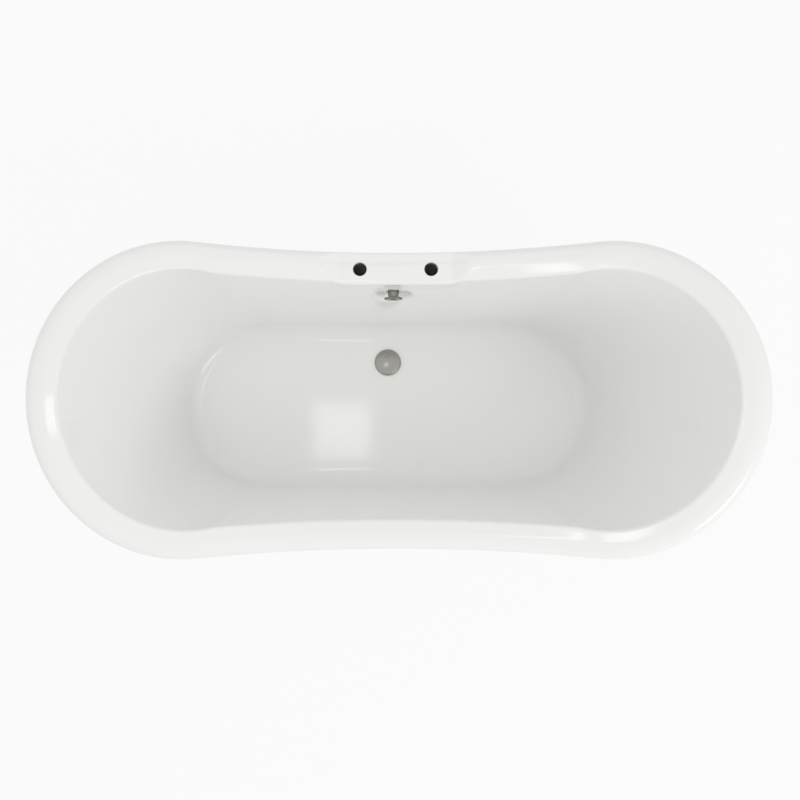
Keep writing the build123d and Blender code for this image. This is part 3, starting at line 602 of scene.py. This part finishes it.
# %% [markdown]
# The tap ledge and the round recess behind the overflow are pressed into the same sheet,
# so their edges are soft. They are made by distance: a point of the plain wall moves along
# its normal until it lies on the surface that joins wall, ledge and recess. Where two
# surfaces meet, their distances are blended over a radius, which rounds the edge.

# %% Blended distances
def round_both(a, b, radius):
    """Distance to what two shapes share, its edge rounded."""
    outside = np.hypot(np.maximum(radius + a, 0), np.maximum(radius + b, 0))
    return np.minimum(np.maximum(a, b), -radius) + outside


def round_either(a, b, radius):
    """Distance to two shapes joined, the corner between them filled by a radius."""
    inside = np.hypot(np.maximum(radius - a, 0), np.maximum(radius - b, 0))
    return np.maximum(np.minimum(a, b), radius) - inside


def ledge_height(x):
    """Height of the ledge: flat in the middle, rising as a ramp to the rim at both ends."""
    slope = (crown_height(RAMP_REACH) - LEDGE_TOP) / (RAMP_REACH - LEDGE_FLAT)
    past = np.abs(x) - LEDGE_FLAT
    soft = (past + np.sqrt(past ** 2 + 3.0)) / 2
    return LEDGE_TOP + slope * soft


def tub_distance(points, travel, facing):
    """How far points lie outside the tub's sheet after a travel along their own way."""
    x, y, z = points[..., 0], points[..., 1], points[..., 2]
    over = z - ledge_height(x)
    corner = np.array([LEDGE_END - LEDGE_FLAT, LEDGE_CORNER])
    across = np.array([corner[1], -corner[0]]) / np.hypot(*corner)
    slant = (np.abs(x) - LEDGE_FLAT) * across[0] + (y - LEDGE_FRONT) * across[1]
    front = round_both(LEDGE_FRONT - y, slant, PLAN_ROUND)
    front = round_both(front, np.abs(x) - LEDGE_END, PLAN_ROUND)
    ledge = round_both(front, over, LEDGE_ROUND)
    wall = round_both(travel * facing, over, CREASE)
    solid = round_either(wall, ledge, PLAN_ROUND)
    from_axis = np.hypot(x, z - OVERFLOW_Z)
    cone = (from_axis - POCKET_RADIUS - (POCKET_FACE - y) * POCKET_SLOPE) / np.hypot(1, POCKET_SLOPE)
    pocket = round_both(y - POCKET_FACE, cone, 5.0)
    return round_both(solid, -pocket, POCKET_ROUND)


def settle(points, ways, facing, depth):
    """Move points along their ways until they lie a depth under the blended surface."""
    low = np.full(points.shape[:-1], -40.0)
    high = np.full(points.shape[:-1], 40.0)
    for _ in range(26):
        middle = (low + high) / 2
        distance = tub_distance(points + ways * middle[..., None], middle, facing)
        out = distance > -depth
        high = np.where(out, middle, high)
        low = np.where(out, low, middle)
    return points + ways * ((low + high) / 2)[..., None]


# %% Tub points
places = even_places(16.0, 3.0)
sections = Sections(places)
zero = np.zeros(len(places))


def corner(reach, height):
    """One corner of every section."""
    return np.stack(np.broadcast_arrays(reach, height), -1).astype(float)


tub_corners = [
    corner(sections.oval(FLOOR_CENTRE, SEAM_RADIUS), zero + FLOOR_TOP),
    corner(sections.oval(FLOOR_CENTRE, FLOOR_RADIUS), zero + FLOOR_TOP),
    corner(sections.reach - RIM_WIDTH * sections.spread, sections.crown - SHOULDER_DROP),
    corner(sections.reach - CROWN_INSET * sections.spread, sections.crown),
    corner(sections.reach, sections.crown - EDGE_DROP),
    corner(sections.reach, sections.crown - LIP_DROP),
]
tub_runs = [
    np.linspace(0, 1, 4),
    np.concatenate([np.linspace(0, 0.56, 9), np.linspace(0.56, 1, 56)[1:]]),
    np.linspace(0, 1, 4),
    np.linspace(0, 1, 4),
    np.linspace(0, 1, 4),
]
shown, shown_normals = rounded_line(tub_corners, TUB_RADII, (10, 18, 6, 14), tub_runs)
hidden = shown - shown_normals * WALL


def in_room(flat_ways):
    """Ways along the section planes as ways in the room."""
    ground = sections.way[:, None, :] * flat_ways[:, :, :1]
    return np.concatenate([ground, flat_ways[:, :, 1:]], -1)


def lowered(points, depth):
    """Points pressed down to a depth under the ledge, where the plain rim stands higher."""
    over = points[:, 2] - ledge_height(points[:, 0]) + depth
    pressed = points.copy()
    pressed[:, 2] -= (over + np.hypot(over, CREASE)) / 2
    return pressed


plain = sections.in_space(shown)
shown_room = plain.copy()
hidden_room = sections.in_space(hidden)
ways_room = in_room(shown_normals)
back_of_rim = shown_normals[:, :, 0] > 0
near = (np.abs(plain[..., 0]) < 225) & (plain[..., 1] > 250) & (plain[..., 2] > 380)
inner, outer = near & ~back_of_rim, near & back_of_rim
shown_room[inner] = settle(plain[inner], ways_room[inner], 1.0, 0.0)
shown_room[outer] = lowered(plain[outer], 0.0)
print("points that shape the ledge:", int(near.sum()))

# %% Hidden side of the tub
# A hidden point starts from the shown one's old place, and settles a wall's thickness under.
hidden_room[inner] = settle(plain[inner], ways_room[inner], 1.0, WALL)
hidden_room[outer] = lowered(hidden_room[outer], WALL)
kept = np.ones(shown.shape[1], bool)
kept[22:76:2] = False
outline = np.concatenate([shown_room, hidden_room[:, kept][:, ::-1]], 1)
tub = grid_skin("bath_tub_skin", outline)
close_skin()

# %% [markdown]
# The holes for taps, overflow and waste are drilled after forming, so their edges are
# sharp. Four rods are joined to one cutter, and a Boolean modifier takes them away.

# %% Drill the tub
def rod(radius, length, place, turn=(0, 0, 0), sides=96):
    """A plain rod to cut with."""
    bare_scene()
    bpy.ops.mesh.primitive_cylinder_add(
        vertices=sides, radius=radius * MM, depth=length * MM,
        location=[value * MM for value in place], rotation=turn,
    )
    return bpy.context.object


def cut(piece, rods):
    """Take joined rods away from a piece."""
    bare_scene()
    for item in rods:
        item.select_set(True)
    bpy.context.view_layer.objects.active = rods[0]
    if len(rods) > 1:
        bpy.ops.object.join()
    cutter = bpy.context.object
    bare_scene()
    piece.select_set(True)
    bpy.context.view_layer.objects.active = piece
    modifier = piece.modifiers.new("drill", "BOOLEAN")
    modifier.operation = "DIFFERENCE"
    modifier.solver = "EXACT"
    modifier.object = cutter
    bpy.ops.object.modifier_apply(modifier=modifier.name)
    bpy.data.objects.remove(cutter)


TAP_Y = 331.5
TAP_SPACING = 180.0
TAP_RADIUS = 17.5
WASTE_Y = 128.0
WASTE_HOLE = 27.0
OVERFLOW_HOLE = 24.0

cut(tub, [
    rod(TAP_RADIUS, 60, (-TAP_SPACING / 2, TAP_Y, LEDGE_TOP)),
    rod(TAP_RADIUS, 60, (TAP_SPACING / 2, TAP_Y, LEDGE_TOP)),
    rod(WASTE_HOLE, 40, (0, WASTE_Y, FLOOR_TOP)),
    rod(OVERFLOW_HOLE, 40, (0, POCKET_FACE, OVERFLOW_Z), (pi / 2, 0, 0)),
])
smooth(tub)
hand_over(tub, bath_acrylic, "bath", "acrylic", "bath_tub")

# %% [markdown]
# ## The outer hull
# The hull is a second sheet that hides the tub's back, the board and the pipes. It hangs
# from under the rim, slack as a sail, and draws in to the pedestal. Its section is one
# Bezier curve, set 5 mm back for the inner side.

# %% Hull
HULL_INSET = 10.0
HULL_WALL = 5.0
HULL_TOP_DROP = 30.0
HULL_FOOT = 97.0
OVAL_CENTRE = 335.0
HULL_RADIUS = 265.0

hull_sections = Sections(even_places(14.0))
top = hull_sections.reach - HULL_INSET
foot = hull_sections.oval(OVAL_CENTRE, HULL_RADIUS)
top_z = hull_sections.crown - HULL_TOP_DROP
gap = top - foot
rise = top_z - HULL_FOOT
handles = [
    corner(top, top_z),
    corner(top - 0.08 * gap, top_z - 0.35 * rise),
    corner(foot + 0.4 * gap, HULL_FOOT + 0.22 * rise),
    corner(foot, HULL_FOOT + 0 * foot),
]
t = np.linspace(0, 1, 41)[None, :, None]
weights = [(1 - t) ** 3, 3 * (1 - t) ** 2 * t, 3 * (1 - t) * t ** 2, t ** 3]
outer = sum(weight * handle[:, None] for weight, handle in zip(weights, handles))
inner = outer[:, ::-1] - np.array([HULL_WALL, 0])
loop = np.concatenate([outer, inner, outer[:, :1]], 1)
hull = grid_skin("outer_hull_skin", hull_sections.in_space(loop))
close_skin()
smooth(hull)
hand_over(hull, bath_acrylic, "bath", "acrylic", "outer_hull")

# %% [markdown]
# ## The pedestal
# The bath stands on an oval pedestal: a narrow top band, a cove that flares out, and a
# square base. It is an oval swept by one profile, so every column is that profile, set out
# square to the oval.

# %% Pedestal
PEDESTAL_TOP = 96.7
PEDESTAL_FOOT = 2.0


def oval_columns(straight_steps, end_steps):
    """Starts and ways, square to an oval of radius nothing, once round from the front."""
    xs, turns = [], []
    for centre, angles in ((OVAL_CENTRE, (-pi / 2, pi / 2)), (-OVAL_CENTRE, (pi / 2, 3 * pi / 2))):
        for angle in np.linspace(*angles, end_steps + 1):
            xs.append(centre)
            turns.append(angle)
    xs.append(OVAL_CENTRE)
    turns.append(3 * pi / 2)
    return np.array(xs), np.array(turns)


oval_x, oval_turn = oval_columns(1, 72)
one = np.zeros((1, 2))
profile_corners = [
    one + (271.0, PEDESTAL_TOP),
    one + (274.0, PEDESTAL_TOP - 12.0),
    one + (276.0, 36.0),
    one + (306.0, 30.0),
    one + (306.0, PEDESTAL_FOOT),
]
profile, _ = rounded_line(
    profile_corners, [np.array([4.0]), np.array([20.0]), np.array([6.0])], (6, 14, 8),
    [(0, 1), np.linspace(0, 1, 4), (0, 1), (0, 0.9, 1)],
)
back = one + np.array([
    (301.0, PEDESTAL_FOOT), (301.0, 25.0), (269.0, 31.0), (269.0, PEDESTAL_TOP - 5),
    (252.0, PEDESTAL_TOP - 5), (252.0, PEDESTAL_TOP), (271.0, PEDESTAL_TOP),
])[None]
profile = np.concatenate([profile, back], 1)[0]
pedestal_points = np.stack([
    oval_x[:, None] + np.cos(oval_turn)[:, None] * profile[None, :, 0],
    np.sin(oval_turn)[:, None] * profile[None, :, 0],
    np.broadcast_to(profile[None, :, 1], (len(oval_x), len(profile))),
], -1)
pedestal = grid_skin("pedestal_skin", pedestal_points)
close_skin()
smooth(pedestal)
hand_over(pedestal, bath_acrylic, "bath", "pedestal_acrylic", "pedestal")

# %% [markdown]
# ## Turned metal
# Waste and overflow are turned or cast round. A turned piece starts as a circle of edges,
# which is extruded, moved and scaled ring by ring along its profile, and welded where the
# profile closes on itself.

# %% Turning helper
def turned(name, profile, sides=96, capped=False):
    """A piece turned round Z from a profile of radii and heights, in millimetres."""
    bare_scene()
    radius, height = profile[0]
    bpy.ops.mesh.primitive_circle_add(
        vertices=sides, radius=radius * MM, fill_type="NOTHING", location=(0, 0, height * MM)
    )
    piece = bpy.context.object
    piece.name = name
    piece.data.name = name
    bpy.ops.object.transform_apply(location=True, rotation=True, scale=True)
    bpy.ops.object.mode_set(mode="EDIT")
    bpy.ops.mesh.select_all(action="SELECT")
    for (old_radius, old_height), (new_radius, new_height) in zip(profile, profile[1:]):
        bpy.ops.mesh.extrude_region_move(
            TRANSFORM_OT_translate={"value": (0, 0, (new_height - old_height) * MM)}
        )
        scale = new_radius / old_radius
        bpy.ops.transform.resize(value=(scale, scale, 1), center_override=(0, 0, new_height * MM))
    bpy.ops.mesh.select_all(action="SELECT")
    bpy.ops.mesh.remove_doubles(threshold=0.000002)
    close_skin()
    return piece


def soft_profile(points, radii, steps=5):
    """A profile with some of its corners rounded, given as one radius for each corner."""
    line = [points[0]]
    for before, here, after, radius in zip(points, points[1:], points[2:], radii):
        if radius <= 0:
            line.append(here)
            continue
        here = np.array(here, float)
        back, ahead = unit(np.array(before) - here), unit(np.array(after) - here)
        half = np.arccos(np.clip(np.dot(back, ahead), -1, 1)) / 2
        centre = here + unit(back + ahead) * radius / np.sin(half)
        first, last = here + back * radius / np.tan(half) - centre, here + ahead * radius / np.tan(half) - centre
        sweep = pi - 2 * half
        for share in np.linspace(0, 1, steps + 1):
            arm = (np.sin((1 - share) * sweep) * first + np.sin(share * sweep) * last) / np.sin(sweep)
            line.append(tuple(centre + arm))
    line.append(points[-1])
    return line


def set_in_place(piece, place, turn=(0, 0, 0)):
    """Turn and move a finished piece, and put that into its mesh."""
    bare_scene()
    piece.select_set(True)
    bpy.context.view_layer.objects.active = piece
    piece.rotation_euler = turn
    piece.location = [value * MM for value in place]
    bpy.ops.object.transform_apply(location=True, rotation=True, scale=True)


# %% [markdown]
# The waste's flange is a flat chromed ring with a bevelled edge. Its plug is a shallow dome
# that nearly covers it, on a black seal.

# %% Waste
flange = turned("waste_flange_ring", soft_profile(
    [(22.0, 120.0), (26.0, 120.0), (26.0, 140.0), (39.0, 140.0), (39.0, 141.2), (36.6, 143.0),
     (24.0, 143.0), (22.0, 140.6), (22.0, 120.0)],
    [0, 0, 0, 0.3, 0.8, 1.0, 0.8],
))
set_in_place(flange, (0, WASTE_Y, 0))
smooth(flange)
hand_over(flange, satin_chrome, "bath", "chrome", "waste_flange")

# %% Plug
DOME_RISE = 6.0
PLUG_RADIUS = 36.0
dome_radius = (PLUG_RADIUS ** 2 + DOME_RISE ** 2) / (2 * DOME_RISE)
dome = [
    (PLUG_RADIUS * share, 152.5 - dome_radius + (dome_radius ** 2 - (PLUG_RADIUS * share) ** 2) ** 0.5)
    for share in np.linspace(0.97, 0.03, 22)
]
plug = turned("plug_dome", [(4.0, 145.0), (35.2, 145.0), (35.8, 145.2), (36.0, 145.6), (36.0, 146.2), (35.7, 146.55)] + dome)
set_in_place(plug, (0, WASTE_Y, 0))
smooth(plug)
hand_over(plug, satin_chrome, "pop_up_plug", "chrome", "plug_cap")

# %% [markdown]
# The overflow is turned in the same way and then tipped to face the front. Its rose lies
# on the recess with slots for the water, a tapered neck stands on it, and a thin knob
# with six lobes turns on the neck.

# %% Overflow rose and neck
TIP = (pi / 2, 0, 0)
ROSE_FACE = 291.4
rose = turned("overflow_rose_ring", soft_profile(
    [(4.05, 0.0), (36.0, 0.0), (36.0, 2.5), (15.0, 2.5), (4.05, 2.5), (4.05, 0.0)],
    [0, 1.2, 0, 0],
))

# A ring of eight slots lets the water through: a turned ring, parted by webs, cuts them.
SLOT_INNER, SLOT_OUTER = 16.8, 20.0
SLOT_COUNT = 8
WEB = 4.0


def web(turn):
    """A bar right across the rose, turned about its middle."""
    bare_scene()
    bpy.ops.mesh.primitive_cube_add(size=MM, rotation=(0, 0, turn))
    bar = bpy.context.object
    bar.scale = (60, WEB, 30)
    bpy.ops.object.transform_apply(location=True, rotation=True, scale=True)
    return bar


slots = turned("slots", [
    (SLOT_INNER, -2.0), (SLOT_OUTER, -2.0), (SLOT_OUTER, 5.0), (SLOT_INNER, 5.0), (SLOT_INNER, -2.0),
])
cut(slots, [web(number * 2 * pi / SLOT_COUNT) for number in range(SLOT_COUNT // 2)])
cut(rose, [slots])
set_in_place(rose, (0, 293.9, OVERFLOW_Z), TIP)
smooth(rose)
hand_over(rose, painted_light_chrome, "bath", "chrome", "overflow_rose")

neck = turned("overflow_neck", soft_profile(
    [(4.05, 0.0), (15.5, 0.0), (13.2, 15.2), (4.05, 15.2), (4.05, 0.0)], [0.5, 0.8, 0],
))
set_in_place(neck, (0, ROSE_FACE, OVERFLOW_Z), TIP)
smooth(neck)
hand_over(neck, painted_shade_chrome, "bath", "chrome", "overflow_collar")

# %% [markdown]
# The knob starts as a filled circle. Its edge is pushed out at six places, and the face is
# then extruded to its thickness, and its rims are bevelled.

# %% Knob
LOBES = 6
KNOB_MEAN = 21.4
KNOB_WAVE = 2.1
KNOB_THICK = 5.8
KNOB_BACK = 275.8

bare_scene()
bpy.ops.mesh.primitive_circle_add(vertices=144, radius=KNOB_MEAN * MM, fill_type="NGON")
knob = bpy.context.object
knob.name = "overflow_knob_lobed"
knob.data.name = knob.name
for vertex in knob.data.vertices:
    angle = np.arctan2(vertex.co.y, vertex.co.x)
    reach = (KNOB_MEAN + KNOB_WAVE * cos(LOBES * angle)) * MM
    vertex.co.x, vertex.co.y = reach * cos(angle), reach * sin(angle)
bpy.ops.object.mode_set(mode="EDIT")
bpy.ops.mesh.select_all(action="SELECT")
bpy.ops.mesh.extrude_region_move(TRANSFORM_OT_translate={"value": (0, 0, KNOB_THICK * MM)})
bpy.ops.mesh.inset(thickness=0.0030, depth=0)
bpy.ops.mesh.inset(thickness=0.0060, depth=-0.0006)
bpy.ops.mesh.select_all(action="SELECT")
bpy.ops.mesh.normals_make_consistent(inside=False)
bpy.ops.object.mode_set(mode="OBJECT")
bevel = knob.modifiers.new("soft rims", "BEVEL")
bevel.width = 0.0011
bevel.segments = 4
bevel.limit_method = "ANGLE"
bevel.angle_limit = radians(50)
bpy.ops.object.modifier_apply(modifier=bevel.name)
set_in_place(knob, (0, KNOB_BACK, OVERFLOW_Z), TIP)
smooth(knob)
hand_over(knob, painted_shade_chrome, "turning_control", "chrome", "overflow_knob")

cap = turned("knob_button", soft_profile(
    [(1.0, 0.0), (8.0, 0.0), (8.0, 1.6), (1.0, 1.6)], [0, 0.8],
))
set_in_place(cap, (0, KNOB_BACK - KNOB_THICK, OVERFLOW_Z), TIP)
smooth(cap)
hand_over(cap, painted_shade_chrome, "turning_control", "chrome", "knob_cap")

# %% [markdown]
# ## Pieces that hide below
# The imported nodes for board, rails, feet, seals and pipes have the right shape already, so
# they only get their materials.

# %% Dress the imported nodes
finishes = {
    "board": chipboard,
    "zinc_steel": zinc_steel,
    "feet_plastic": black_plastic,
    "seal": black_rubber,
    "waste_plastic": black_plastic,
    "hose_plastic": grey_plastic,
    "brass": drawn_brass,
    "bead": white_sealant,
    "chrome": satin_chrome,
    "acrylic": bath_acrylic,
    "pedestal_acrylic": bath_acrylic,
}
for row in frame["record"]["subparts"]:
    node = frame["nodes"][row["node"]]
    node.data.materials.clear()
    node.data.materials.append(finishes[row["material_slot"]])

# %% The sizes of the imported and the dressed model
def plain(box):
    """A box as plain lists of numbers."""
    return [[float(value) for value in point] for point in box]


{"cad": plain(cad_box), "visual": plain(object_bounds())}
